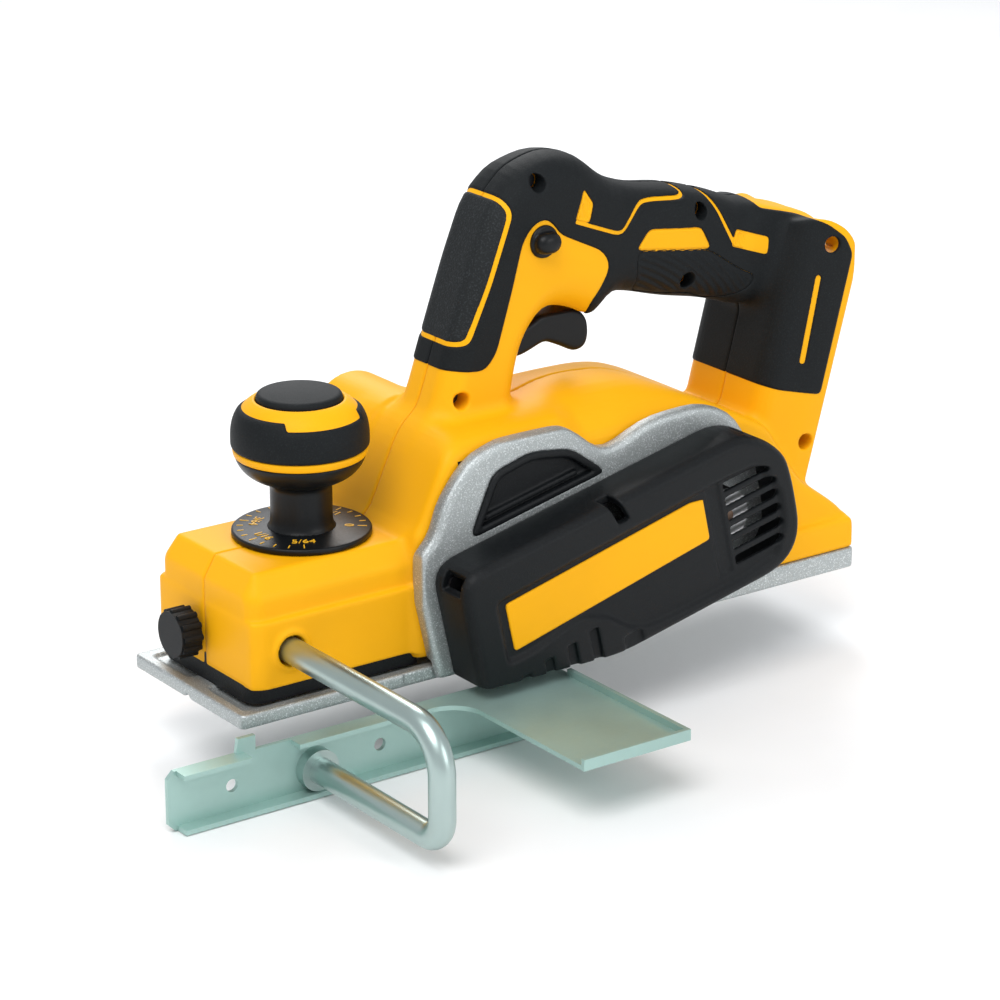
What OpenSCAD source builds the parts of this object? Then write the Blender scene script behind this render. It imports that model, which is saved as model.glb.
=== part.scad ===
// Electric hand planer: a cordless planer with an 82 mm cutter, side fence,
// depth knob and closed rear handle, as an assembly of separate parts.
// X runs to the rear, -Y is the belt side, +Z is up, and z = 0 is the sole plane.

/* [Sole] */
// Length of the whole sole, both shoes
sole_l = 320; // [316:1:324]
// Width of both shoes
sole_w = 84; // [84:0.5:85]
// Height of the rear shoe's side
rear_h = 9.2; // [8.6:0.2:9.6]
// Height of the front shoe's rim
rim_h = 6; // [5.4:0.2:6]

/* [Cutter] */
// Radius of the cutting circle, which touches the sole plane
cut_r = 27; // [26.8:0.1:27.2]
// Length of the blades, the planing width
blade_l = 82; // [78:1:82]
// Place of the drum along X
drum_x = -25; // [-26:0.5:-24]

/* [Drive] */
// Slope of the belt from the drum up to the motor
belt_tilt = 12.8; // [12:0.2:13.4]
// Distance between the drum and motor axes
belt_span = 96; // [95:0.5:97]
// Radius of the pulley on the drum
driven_r = 17; // [16:0.5:18]
// Radius of the pulley on the motor
drive_r = 10; // [9:0.5:11]

/* [Housing] */
// Half width of the yellow housing
body_y = 38; // [37.8:0.1:38]
// Height of the deck under the depth dial
deck_z = 59.4; // [59:0.1:59.4]
// Wall thickness of the clamshell
wall = 2.4; // [2.2:0.1:2.6]

/* [Handle] */
// Half width of the grip
grip_y = 18; // [17.5:0.5:19]
// Lean of the battery column to the rear
column_lean = 15; // [14.5:0.5:15.5]

/* [Depth knob] */
// Place of the knob's axis along X
knob_x = -103.5; // [-104:0.5:-103]
// Radius of the depth dial
dial_r = 28.8; // [28:0.2:29.4]
// Largest radius of the knob's ball
ball_r = 27.8; // [26:0.2:28]
// Radius of the knob's stem
stem_r = 12.75; // [12:0.25:13.5]

/* [Side fence] */
// Radius of the fence rod
rod_r = 5.4; // [5.2:0.1:5.6]
// Place of the rod along X
rod_x = -133.4; // [-134:0.2:-133]
// Height of the rod above the sole plane
rod_z = 27; // [26.6:0.2:27.4]
// Outer reach of the rod's vertical leg
reach_y = -142.5; // [-150:0.5:-138]
// Plane of the guiding face
face_y = -51; // [-52:0.5:-50]
// Thickness of the fence sheet
sheet = 2; // [1.6:0.1:2.2]

/* [Hidden] */
$fn = 64;

yellow = [0.98, 0.72, 0.05];
black = [0.12, 0.12, 0.13];
silver = [0.72, 0.73, 0.75];
zinc = [0.66, 0.74, 0.72];
brass = [0.8, 0.62, 0.3];

half_l = sole_l / 2;
half_w = sole_w / 2;
wall_in = half_w;         // inner face of both side walls of the casting
flange_y = -45.5;         // outer face of the belt-side flange
cover_y = -68;            // outer face of the belt cover
run_fit = 0.05;           // radial clearance of a running fit
shoe_front = -half_l;
shoe_clear_r = cut_r + 3; // relief of the front shoe round the drum
deck_in = 2.4;            // step of the front box under the deck
bridge_z = 16;            // underside of the casting's front bridge
bridge_y = 33;
fence_top = -3.6;
fence_low = -28.8;
port_x = -40;
port_z = 81;
port_r = 17.5;            // bore of the round chip port
port_end = 60;
trig = [-9, 121];         // trigger pivot inside the leg, x and z
button = [6, 168.5];      // lock-off button, x and z
button_r = 6;
skin = 2;                 // thickness of the rubber over the plastic
inset = 1.2;              // depth of the pockets for pads and inlays
gap = 0.02;               // clearance of parts that are pressed or glued in
hood_r = 32.5;            // outside of the casting's hood round the drum
hood_in_r = 29.5;
drum_r = 24.5;
drum_shaft_r = 5;
drum_bearing_r = 11;
rotor_shaft_r = 4;
motor_bearing_r = 9;
motor_r = 26;             // bore of the cradle round the stator
lead_r = 4;               // depth screw
guide_r = 4;              // the front shoe's two guide pins
guide_x = -72;
guide_y = 22;
knob_foot = 62.4;         // underside of the knob's stem
pin_r = 1.5;              // trigger and kickstand pins
stand = [99, 5];          // kickstand pivot, x and z
lock_y = 5;               // height across of the fence lock's axis
lock_r = 3;
boss_r = 5;
head_r = 3;               // housing and cover screws
shank_r = 1.6;
slot_low = 24;            // lower end of the battery slot, up the column
pack_y = 21;              // half width of the slot
rail_y = 26;              // half width of the undercut for the rails
pulley_y = [-61, -51];    // both ends of the pulleys' working face
clamp_y = [-28, 0, 28];
terminal_y = [-12, -4, 4, 12];
corner_cut = 2;           // side of the square that bevels the shoes' corners
far = 300;                // larger than the whole part

// ---------- helpers ----------

// Extrudes a shape drawn in X and Z between two values of Y
module along_y(y0, y1) {
    rotate([90, 0, 0])
        translate([0, 0, -y1])
            linear_extrude(y1 - y0)
                children();
}

// Extrudes a shape drawn in Y and Z between two values of X
module along_x(x0, x1) {
    translate([x0, 0, 0])
        rotate([90, 0, 90])
            linear_extrude(x1 - x0)
                children();
}

// Round bar along Y, centred on x and z
module bar_y(r, y0, y1, x = 0, z = 0) {
    translate([x, y0, z])
        rotate([-90, 0, 0])
            cylinder(r = r, h = y1 - y0);
}

// Round bar along X, centred on y and z
module bar_x(r, x0, x1, y = 0, z = 0) {
    translate([x0, y, z])
        rotate([0, 90, 0])
            cylinder(r = r, h = x1 - x0);
}

// Ring along Y
module ring_y(ro, ri, y0, y1) {
    difference() {
        bar_y(ro, y0, y1);
        bar_y(ri, y0 - 1, y1 + 1);
    }
}

// Block between two corners
module block(lo, hi) {
    translate(lo)
        cube(hi - lo);
}

// Frame of the belt drive: origin on the drum axis, X up the belt's slope
module drive(u = 0) {
    translate([drum_x, 0, cut_r])
        rotate([0, -belt_tilt, 0])
            translate([u, 0, 0])
                children();
}

// Frame of the battery column: origin low on its rear face, Z up the face
module column() {
    translate([137.6, 0, 42.6])
        rotate([0, column_lean, 0])
            children();
}

module rounded(r) {
    offset(r = r, $fn = 32)
        offset(delta = -r)
            children();
}

module filleted(r) {
    offset(r = -r, $fn = 32)
        offset(delta = r)
            children();
}

// ---------- outlines ----------

module flange_outline() {
    rounded(6)
        filleted(7)
            polygon([[-47, -40], [-47, 37], [-34, 44], [-28, 56], [-10, 70], [20, 71],
                [38, 64], [54, 44], [80, 48.5], [108, 43.5], [122, 33], [130, 8],
                [130, -36]]);
}

module cover_outline() {
    rounded(13)
        polygon([[-40, -34], [-40, 34], [112, 34], [128, 18], [130, 6], [130, -22],
            [118, -34]]);
}

module port_outline() {
    rounded(4)
        polygon([[-19, 38], [-2, 60], [18, 61], [37, 54], [52, 38]]);
}

// Side outline of the leg and the grip, without the hand gap
module handle_outline() {
    filleted(6)
        rounded(9)
            polygon([[-52, 92], [-45, 105], [-36, 131], [-27, 162], [-15, 184], [-3, 198],
                [14, 204.5], [30, 200.5], [44, 188], [60, 181.5], [82, 178.5], [104, 172.5],
                [124, 163], [136, 158], [132, 124], [118, 119], [108, 123], [96, 126.5],
                [76, 129.5], [56, 134.5], [44, 134], [34, 126], [22, 131], [9, 136],
                [0, 130], [-5, 118], [-8, 92]]);
}

// Part of the side view where the yellow leg shows
module leg_window() {
    rounded(3)
        polygon([[-62, 120], [-32, 118.5], [-26, 119.5], [-21, 130], [-12, 151], [-6, 171],
            [2, 178], [12, 176.5], [17, 169.5], [38, 160], [40.5, 154], [33, 146],
            [30, 138], [31, 133], [40, 124], [40, 60], [-62, 60]]);
}

// Plan of the battery column, with x out of its rear face
module column_plan(d = 0) {
    offset(delta = -d)
        rounded(3)
            polygon([[-31, -20], [-26, -27], [-8, -32.5], [0, -33], [0, 33], [-8, 32.5],
                [-26, 27], [-31, 20]]);
}

// ---------- shared solids ----------

// Handle in three steps from its middle to its sides, inset all over by d
module handle_solid(d = 0) {
    for (s = [[10, 0], [15, 2], [grip_y, 5]])
        along_y(-(s[0] - d), s[0] - d)
            offset(delta = -(s[1] + d))
                handle_outline();
}

module column_solid(d = 0) {
    column()
        difference() {
            translate([0, 0, -8])
                linear_extrude(123 - d)
                    column_plan(d);
            translate([0.5, 0, 103 - d])
                rotate([0, -30, 0])
                    translate([0, -50, 0])
                        cube([40, 100, 40]);
        }
}

// Body behind the front box: side view crossed with two front views
module body_solid(d = 0) {
    intersection() {
        along_y(-body_y + d, body_y - d)
            offset(delta = -d)
                polygon([[-73.5, 11.5], [-73.5, 59], [-70, 65], [-64, 78], [-57, 93], [-50, 100],
                    [-5, 100.5], [25, 106], [45, 103.5], [62, 98], [82, 89], [112, 74],
                    [136, 43.5], [157.5, 25], [half_l, 21], [half_l, rear_h + 0.1],
                    [-14, rear_h + 0.1]]);
        union() {
            along_x(-90, 8)
                offset(delta = -d)
                    polygon([[-38, 5], [38, 5], [38, 92], [32, 98], [20, 101.5], [-20, 101.5],
                        [-32, 98], [-38, 92]]);
            along_x(8 - d, half_l + 5)
                offset(delta = -d)
                    polygon([[-38, 5], [38, 5], [38, 85], [32, 93], [18, 101.5], [0, 106.5],
                        [-18, 101.5], [-32, 93], [-38, 85]]);
        }
    }
}

module box_plan(d) {
    offset(r = 10 - d, $fn = 32)
        translate([-143.5, -body_y + 10])
            square([70, 2 * body_y - 20]);
}

module front_box(d = 0) {
    translate([0, 0, 12.5 - 4 * d])
        linear_extrude(28.5 + 3 * d)
            box_plan(d);
    translate([0, 0, 40 - 2 * d])
        linear_extrude(10.5 + d)
            box_plan(d + deck_in);
    hull() {
        translate([0, 0, 50])
            linear_extrude(0.5)
                box_plan(d + deck_in);
        translate([0, 0, deck_z - d - 0.5])
            linear_extrude(0.5)
                box_plan(d + 7);
    }
}

// Clamshell screws: x, z, depth of the head and half length of the boss
screw_sites = [[4, 193, 9, 14], [90, 168, 9, 14], [83, 139, 9, 14], [-35, 107, 9, 14],
    [151, 147, 21, 21], [138, 60, 21, 21]];

// Way for the wires from the column into the grip
module wire_passage() {
    block([120, -8, 138], [140, 8, 152]);
}

module screw_bosses() {
    for (s = screw_sites)
        bar_y(boss_r, -s[3], s[3], s[0], s[1]);
}

module housing_body() {
    difference() {
        union() {
            front_box();
            body_solid();
            handle_solid();
            column_solid();
            bar_y(21, body_y - wall, port_end, port_x, port_z);
        }
        grip_skin();
        inner_space();
        bar_y(port_r, body_y, port_end + 1, port_x, port_z);
        bar_y(port_r + 1, body_y - 2, body_y, port_x, port_z);
        bar_y(11, 28, body_y, port_x + 2, port_z - 5);
        bar_y(6.4, -50, 50, rod_x, rod_z);
        bar_x(4, -half_l, -140, lock_y, rod_z);
        translate([knob_x, 0, 40])
            cylinder(r = 6, h = 30);
        trigger_slot();
        battery_slot();
        for (s = screw_sites) {
            bar_y(shank_r + 0.1, -s[2] - 1, s[3] - 3, s[0], s[1]);
            bar_y(head_r + 0.6, -body_y - 2, -s[2] + 2, s[0], s[1]);
        }
        bar_y(button_r + 0.3, -30, 30, button[0], button[1]);
        bar_y(pin_r + gap, -9.6, 9.6, trig[0], trig[1]);
        drum_space();
        wall_space();
        block([54, -33, 5], [82, 11, 20]);
        block([-52.2, -60, 60.3], [-11.8, 35.2, 90.2]);
        drive(belt_span)
            bar_y(12.3, -50, -30);
    }
}

// Cavity of the clamshell, with the screw bosses left standing
module inner_space() {
    difference() {
        union() {
            front_box(wall);
            body_solid(wall);
            handle_solid(5);
            column()
                block([-28.5, -22, -12], [-15.5, 22, 110]);
            block([-100, -body_y + wall, 10], [-70, body_y - wall, 38]);
            block([-100, -29, 38], [-70, 29, 56]);
            block([-30, -13, 90], [-14, 13, 120]);
            wire_passage();
            block([-60, -body_y + wall, 8], [-10, body_y - wall, 20]);
        }
        screw_bosses();
        drive(belt_span)
            bar_y(12, 26, 36);
    }
    drive(belt_span)
        bar_y(motor_bearing_r, 20, 32);
}

// Room round the cutter's hood
module drum_space() {
    bar_y(hood_r + 0.5, -50, 50, drum_x, cut_r);
    block([-70, -50, -5], [-15, 50, 12]);
}

// Room beside the right wall of the casting
module wall_space() {
    block([-59, 41.8, -5], [36, 60, 46]);
}

// Slot under the head in which the trigger swings
module trigger_slot() {
    block([trig[0] - 5, -7.5, 115], [41, 7.5, 141]);
}

// Open slot down the rear of the column with an undercut for the pack's rails
module battery_slot() {
    column() {
        block([-13, -pack_y, slot_low], [5, pack_y, 130]);
        block([-9, -rail_y, slot_low], [-3.5, rail_y, 130]);
    }
}

// Black rubber skin over the handle and the column
module grip_skin() {
    difference() {
        intersection() {
            union() {
                handle_solid();
                column_solid();
            }
            union() {
                difference() {
                    along_y(-30, 30)
                        polygon([[-70, 60], [-70, 215], [140, 215], [140, 112], [40, 112],
                            [40, 60]]);
                    along_y(-31, 31)
                        leg_window();
                }
                column()
                    block([-50, -40, 39], [-3, 40, 112.5]);
            }
        }
        handle_solid(skin);
        column_solid(skin);
        battery_slot();
    }
}

module grip_cuts() {
    for (s = screw_sites)
        bar_y(head_r + 0.6, -body_y - 2, 0, s[0], s[1]);
    pad_pocket();
    palm_pocket();
    inlay_pocket();
    trigger_slot();
    wire_passage();
}

// Front pad outline in side view
module pad_pocket(d = 0) {
    intersection() {
        along_y(-16.5 + d, 16.5 - d)
            offset(delta = -d)
                polygon([[-60, 132], [-36, 130], [-30, 136], [-22, 152], [-11, 180],
                    [-13, 188], [-32, 197], [-60, 190]]);
        difference() {
            handle_solid(d);
            handle_solid(inset - d);
        }
    }
}

module palm_pocket(d = 0) {
    for (s = [-1, 1])
        along_y(min(s * (grip_y + 0.01 - d), s * (grip_y - inset + d)),
            max(s * (grip_y + 0.01 - d), s * (grip_y - inset + d)))
            offset(delta = -d)
                rounded(3)
                    polygon([[57, 155], [93, 151], [108, 141], [112, 136], [98, 134],
                        [86, 137], [72, 138.5], [60, 142]]);
}

module inlay_pocket(d = 0) {
    for (s = [-1, 1])
        along_y(min(s * (grip_y + 0.01 - d), s * (grip_y - inset + d)),
            max(s * (grip_y + 0.01 - d), s * (grip_y - inset + d)))
            offset(delta = -d) {
                polygon([[57, 157.5], [62, 164], [89, 161.5], [93, 153.5]]);
                polygon([[29, 186], [33.5, 180], [30.5, 172.5], [25.5, 172.5]]);
                polygon([[109, 157], [123, 152], [123, 145], [109, 149]]);
            }
}

// ---------- fixed parts ----------

module base_frame() {
    color(silver)
        difference() {
            union() {
                block([-22, -half_w, 0], [half_l, half_w, rear_h]);
                left_wall();
                block([-57, wall_in, 1], [34, wall_in + 2.5, 44]);
                intersection() {
                    bar_y(hood_r, -half_w - 0.2, half_w + 0.2, drum_x, cut_r);
                    block([-60, -50, 0], [-8, 50, 60]);
                }
                intersection() {
                    bar_y(hood_r, -half_w - 0.2, half_w + 0.2, drum_x, cut_r);
                    block([-30, -50, 4], [20, 50, 60]);
                }
                translate([0, 0, bridge_z])
                    linear_extrude(5)
                        box_plan(5);
                block([-80, -bridge_y, bridge_z], [-50, bridge_y, bridge_z + 5]);
                block([-144, -bridge_y, bridge_z], [-122, bridge_y, 37]);
                translate([knob_x, 0, bridge_z])
                    cylinder(r = 9, h = 16);
                motor_cradle();
            }
            difference() {
                bar_y(hood_in_r, -wall_in, wall_in, drum_x, cut_r);
                bar_y(15.5, -wall_in - 1, -34, drum_x, cut_r);
                bar_y(15.5, 34, wall_in + 1, drum_x, cut_r);
            }
            bar_y(drum_bearing_r, 30, wall_in + 4, drum_x, cut_r);
            bar_y(drum_bearing_r, -wall_in - 0.5, -30, drum_x, cut_r);
            bar_y(8, -50, -40, drum_x, cut_r);
            chip_mouth();
            block([-62, -wall_in, -5], [-24, wall_in, 12]);
            bar_y(rod_r + run_fit, -40, 40, rod_x, rod_z);
            bar_x(lock_r + 0.2, -150, -134, lock_y, rod_z);
            bar_x(5, -149, -139.8, lock_y, rod_z);
            translate([knob_x, 0, 0])
                cylinder(r = lead_r + run_fit, h = 50);
            for (s = [-1, 1])
                translate([guide_x, s * guide_y, 0])
                    cylinder(r = guide_r + run_fit, h = 40);
            drive(belt_span) {
                bar_y(motor_bearing_r, -42.5, -30);
                bar_y(6, -50, -30);
            }
            for (p = cover_screw_uv)
                drive()
                    bar_y(1.9, -50, -38, p[0], p[1]);
            stand_slot();
            for (s = [-1, 1])
                translate([half_l, s * half_w, -1])
                    rotate([0, 0, 45])
                        cube([corner_cut, corner_cut, 40], center = true);
        }
}

cover_screw_uv = [[-33, 25], [113, 25]];

module left_wall() {
    intersection() {
        union() {
            drive()
                along_y(flange_y, -half_w)
                    flange_outline();
            drive()
                along_y(-half_w - 1, -38.2)
                    difference() {
                        flange_outline();
                        offset(delta = -7)
                            flange_outline();
                    }
            drive(belt_span)
                bar_y(12, -half_w - 1, -34);
        }
        union() {
            block([-far, -far, 1.2], [far, -half_w, far]);
            block([-far, -far, 8.6], [far, 0, far]);
        }
    }
}

module motor_cradle() {
    difference() {
        block([56, -30, rear_h - 1], [80, 8, 34]);
        drive(belt_span)
            bar_y(motor_r, -31, 9);
    }
}

// Chips leave the hood through its top
module chip_mouth() {
    block([-50, -36, 42], [-14, 36, 70]);
}

module stand_slot() {
    block([94, 21, -1], [144, 33.5, 20]);
    bar_y(pin_r + gap, 18, 37, stand[0], stand[1]);
}

module bearing_caps() {
    color(silver)
        bar_y(12.5, half_w + 2.5, half_w + 4, drum_x, cut_r);
}

module housing_left() {
    color(yellow)
        intersection() {
            housing_body();
            block([-far, -far, -far], [far, 0, far]);
        }
}

module housing_right() {
    color(yellow)
        intersection() {
            housing_body();
            block([-far, 0, -far], [far, far, far]);
        }
}

module grip_left() {
    color(black)
        difference() {
            intersection() {
                grip_skin();
                block([-far, -far, -far], [far, 0, far]);
            }
            grip_cuts();
            bar_y(button_r + 0.3, -30, 30, button[0], button[1]);
        }
}

module grip_right() {
    color(black)
        difference() {
            intersection() {
                grip_skin();
                block([-far, 0, -far], [far, far, far]);
            }
            grip_cuts();
            bar_y(button_r + 0.3, -30, 30, button[0], button[1]);
        }
}

module leg_pad() {
    color(black)
        pad_pocket(gap);
}

module palm_pads() {
    color(black)
        palm_pocket(gap);
}

module grip_inlays() {
    color(yellow)
        inlay_pocket(gap);
}

module belt_cover() {
    color(black)
        difference() {
            hull()
                drive() {
                    along_y(-61, flange_y)
                        cover_outline();
                    along_y(cover_y, -66)
                        offset(delta = -6)
                            cover_outline();
                }
            drive()
                along_y(-64.5, flange_y + 1)
                    offset(delta = -6.5)
                        cover_outline();
            block([-far, -far, -far], [far, 0, 1.6]);
            cover_badge_space();
            for (i = [0:5])
                drive(106)
                    translate([0, 0, -20 + 7.4 * i])
                        block([-14, -70, 0], [14, -60, 4]);
            drive(46)
                block([-3, -70, 20], [7, -60, 36]);
            for (p = cover_screw_uv)
                drive() {
                    bar_y(4.2, -80, flange_y - 4, p[0], p[1]);
                    bar_y(1.9, -80, -40, p[0], p[1]);
                }
        }
}

module cover_badge_space(d = 0) {
    drive()
        along_y(cover_y - 0.01 + d, cover_y + 0.8 - d)
            offset(delta = -d)
                polygon([[-24, -20], [-24, 8], [82, 8], [82, -13], [10, -13], [2, -20]]);
}

module cover_badge() {
    color(yellow)
        cover_badge_space(gap);
}

module cover_screws() {
    color(zinc)
        for (p = cover_screw_uv)
            drive() {
                bar_y(3.2, flange_y - 6, flange_y - 4, p[0], p[1]);
                bar_y(1.8, flange_y - 4, -43, p[0], p[1]);
            }
}

module belt_line(d) {
    hull() {
        circle(r = driven_r + d);
        translate([belt_span, 0])
            circle(r = drive_r + d);
    }
}

module drive_belt() {
    color(black)
        drive()
            along_y(pulley_y[0] + 0.6, pulley_y[1] - 0.6)
                difference() {
                    belt_line(2.3);
                    belt_line(0.3);
                }
}

module chip_chute() {
    color(black)
        difference() {
            block([-52, -37.9, 60.5], [-12, 35, 90]);
            block([-50, -39, 60], [-14, 36, 88]);
        }
}

module chip_port_cover() {
    color(black)
        intersection() {
            drive()
                difference() {
                    along_y(flange_y - 2.5, flange_y - 0.02)
                        port_outline();
                    along_y(flange_y - 4, flange_y - 1)
                        offset(delta = -2.5)
                            port_outline();
                }
            drive()
                block([-60, -60, 34.3], [80, 0, 90]);
        }
}

module motor_stator() {
    color([0.45, 0.3, 0.2])
        drive(belt_span)
            ring_y(motor_r - 0.1, 14.3, -30, 8);
}

module motor_bearings() {
    color(silver)
        drive(belt_span) {
            ring_y(motor_bearing_r - run_fit, rotor_shaft_r + run_fit, -42.4, -37);
            ring_y(motor_bearing_r - run_fit, rotor_shaft_r + run_fit, 26, 31.5);
        }
}

module drum_bearings() {
    color(silver)
        translate([drum_x, 0, cut_r]) {
            ring_y(drum_bearing_r - run_fit, drum_shaft_r + run_fit, -wall_in, -35);
            ring_y(drum_bearing_r - run_fit, drum_shaft_r + run_fit, 35, wall_in);
        }
}

module control_module() {
    color([0.2, 0.25, 0.22])
        block([104, -24, 12.6], [138, 18, 34]);
}

module switch_unit() {
    color(black)
        block([2, -8, 143], [32, 8, 160]);
}

module battery_terminals() {
    color(black)
        column()
            difference() {
                block([-12.98, -17, 40], [-5, 17, 78]);
                for (y = terminal_y)
                    block([-12, y - 1, 50], [-4, y + 1, 80]);
            }
}

module terminal_blades() {
    color(brass)
        column()
            for (y = terminal_y)
                block([-11.98, y - 0.4, 50.1], [-6, y + 0.4, 74]);
}

module housing_screws() {
    color(zinc)
        for (s = screw_sites) {
            bar_y(head_r, -s[2], -s[2] + 2, s[0], s[1]);
            bar_y(shank_r, -s[2] + 2, s[3] - 4, s[0], s[1]);
        }
}

module fence_insert() {
    color(brass)
        difference() {
            bar_x(5 - gap, -148, -140, lock_y, rod_z);
            bar_x(lock_r + run_fit, -150, -138, lock_y, rod_z);
        }
}

// Wires from the terminals through the column and the grip to the switch
module wire_harness() {
    color([0.6, 0.1, 0.1])
        for (y = [-4, 0, 4])
            translate([0, y, 0])
                wire([[137, 140], [124, 146], [104, 150], [70, 154], [40, 156], [33.6, 154]], 1.1);
}

module wire(path, r) {
    for (i = [0:len(path) - 2]) {
        a = path[i];
        b = path[i + 1];
        translate([a[0], 0, a[1]])
            rotate([0, atan2(b[0] - a[0], b[1] - a[1]), 0])
                cylinder(r = r, h = norm(b - a), $fn = 24);
    }
    for (p = path)
        translate([p[0], 0, p[1]])
            sphere(r = 1.25 * r, $fn = 24);
}

module kickstand_pin() {
    color(zinc)
        bar_y(pin_r, 18.2, 36.8, stand[0], stand[1]);
}

// ---------- front shoe ----------

module front_shoe() {
    color(silver)
        difference() {
            union() {
                block([shoe_front, -half_w, 0], [-34, half_w, 4.2]);
                difference() {
                    block([shoe_front, -half_w, 0], [-34, half_w, rim_h]);
                    for (s = [-1, 1])
                        translate([0, s * (half_w / 2 + 1), 0])
                            block([shoe_front + 5, -half_w / 2 + 7, 3], [-48, half_w / 2 - 7, 9]);
                }
                translate([knob_x, 0, 0])
                    cylinder(r = 11, h = 13.4);
                for (s = [-1, 1])
                    translate([guide_x, s * guide_y, 2])
                        cylinder(r = guide_r, h = 24);
            }
            bar_y(shoe_clear_r, -60, 60, drum_x, cut_r);
            block([-82, -60, -1], [-30, -half_w + 0.4, 20]);
            block([-62, half_w - 0.4, -1], [-30, 60, 20]);
            along_x(shoe_front - 1, -30)
                polygon([[-3, -0.01], [0, 2.6], [3, -0.01]]);
            translate([knob_x, 0, 4.2])
                cylinder(r = 7, h = 20);
            for (s = [-1, 1])
                translate([shoe_front, s * half_w, 0])
                    rotate([0, 0, 45])
                        cube([corner_cut, corner_cut, 40], center = true);
        }
}

module front_skirt() {
    color(black)
        difference() {
            translate([0, 0, rim_h + 0.01])
                linear_extrude(12)
                    box_plan(2.7);
            translate([0, 0, rim_h - 1])
                linear_extrude(15)
                    box_plan(4.3);
            block([-71, -60, 0], [-20, 60, 30]);
        }
}

module shoe_nut() {
    color(brass)
        translate([knob_x, 0, 4.2])
            difference() {
                cylinder(r = 7 - gap, h = 9.2);
                translate([0, 0, -1])
                    cylinder(r = lead_r + run_fit, h = 20);
            }
}

// ---------- depth knob ----------

module spun(points) {
    translate([knob_x, 0, 0])
        rotate_extrude($fn = 96)
            polygon(points);
}

module knob_core() {
    color(black)
        difference() {
            union() {
                spun([[0, knob_foot], [stem_r, knob_foot], [stem_r, 80.5], [19.5, 81.8], [24, 85],
                    [27, 92.4], [0, 92.4]]);
                spun([[0, 92.3], [20, 92.3], [20, 111], [0, 111]]);
            }
            translate([knob_x, 0, 50])
                cylinder(r = lead_r + gap, h = 42);
        }
}

module knob_rings() {
    color(yellow) {
        spun([[20.05, 92.45], [27.2, 92.45], [27.5, 95.6], [20.05, 95.6]]);
        spun([[17.6, 111.05], [25, 111.05], [23.5, 115], [20.5, 117], [17.6, 117]]);
    }
}

module knob_grip() {
    color(black)
        spun([[20.05, 95.65], [ball_r - 0.2, 95.65], [ball_r, 101], [ball_r - 1, 107],
            [25.5, 111], [20.05, 111]]);
}

module knob_cap() {
    color(black)
        spun([[0, 111.05], [17.5, 111.05], [17.5, 117.3], [15, 119.2], [9, 120.6],
            [0, 121]]);
}

module depth_dial() {
    color(black)
        difference() {
            spun([[0, deck_z + 0.3], [dial_r, deck_z + 0.3], [dial_r, 61.4],
                [dial_r - 1, 62.3], [0, 62.3]]);
            translate([knob_x, 0, 50])
                cylinder(r = lead_r + gap, h = 42);
        }
}

module depth_screw() {
    color(zinc)
        translate([knob_x, 0, 6.8])
            cylinder(r = lead_r, h = 84);
}

// ---------- cutter ----------

module at_drum(a = 0) {
    translate([drum_x, 0, cut_r])
        rotate([0, a, 0])
            children();
}

module cutter_drum() {
    color(silver)
        at_drum()
            difference() {
                union() {
                    bar_y(drum_r, -40, 40);
                    bar_y(drum_shaft_r, -62.5, 41.5);
                }
                ring_y(17, drum_shaft_r, 33, 41);
                ring_y(17, drum_shaft_r, -41, -33);
                for (a = [0, 180])
                    rotate([0, a, 0])
                        block([-4, -50, 17.9], [4.2, 50, 30]);
            }
}

module cutter_blades() {
    color(silver)
        for (a = [0, 180])
            at_drum(a)
                intersection() {
                    block([-1.2, -blade_l / 2, 18], [0, blade_l / 2, 28]);
                    bar_y(cut_r - 0.05, -50, 50);
                }
}

module blade_clamps() {
    color(zinc)
        for (a = [0, 180])
            at_drum(a)
                difference() {
                    union() {
                        block([0.02, -39.5, 18], [4.1, 39.5, 23.6]);
                        block([-3.9, -39.5, 18], [-1.22, 39.5, 23.6]);
                    }
                    for (y = clamp_y)
                        bar_z(1.6, 19, 30, 2.1, y);
                }
}

module bar_z(r, z0, z1, x, y) {
    translate([x, y, z0])
        cylinder(r = r, h = z1 - z0, $fn = 24);
}

module clamp_screws() {
    color(black)
        for (a = [0, 180])
            at_drum(a)
                for (y = clamp_y)
                    bar_z(1.5, 19.1, 23.4, 2.1, y);
}

module pulley(r) {
    difference() {
        union() {
            bar_y(r, pulley_y[0], pulley_y[1]);
            bar_y(r + 2.2, pulley_y[0] - 1, pulley_y[0] + 0.2);
            bar_y(r + 2.2, pulley_y[1] - 0.2, pulley_y[1] + 1);
        }
        children();
    }
}

module driven_pulley() {
    color(silver)
        at_drum()
            pulley(driven_r)
                bar_y(drum_shaft_r + gap, -70, -40);
}

module motor_rotor() {
    color(silver)
        drive(belt_span) {
            bar_y(13.8, -28, 6);
            bar_y(rotor_shaft_r, -62.5, 31.5);
        }
}

module cooling_fan() {
    color(black)
        drive(belt_span)
            difference() {
                union() {
                    bar_y(22, 12, 13.5);
                    bar_y(8, 12, 21);
                    for (i = [0:10])
                        rotate([0, i * 360 / 11, 0])
                            block([7, 13, -0.8], [22, 21, 0.8]);
                }
                bar_y(rotor_shaft_r + gap, 0, 30);
            }
}

module drive_pulley() {
    color(silver)
        drive(belt_span)
            pulley(drive_r)
                bar_y(rotor_shaft_r + gap, -70, -40);
}

// ---------- controls ----------

module trigger() {
    color(black)
        difference() {
            along_y(-7, 7)
                rounded(1.5)
                    polygon([[-13, 118], [-10, 116.8], [3, 117.5], [13, 122], [21, 119.5],
                        [28, 114.5], [35, 115], [38, 122], [37, 128], [31, 133],
                        [8, 131], [-2, 126], [-13, 125]]);
            bar_y(pin_r + run_fit, -10, 10, trig[0], trig[1]);
        }
}

module trigger_pin() {
    color(zinc)
        bar_y(pin_r, -9.5, 9.5, trig[0], trig[1]);
}

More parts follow.
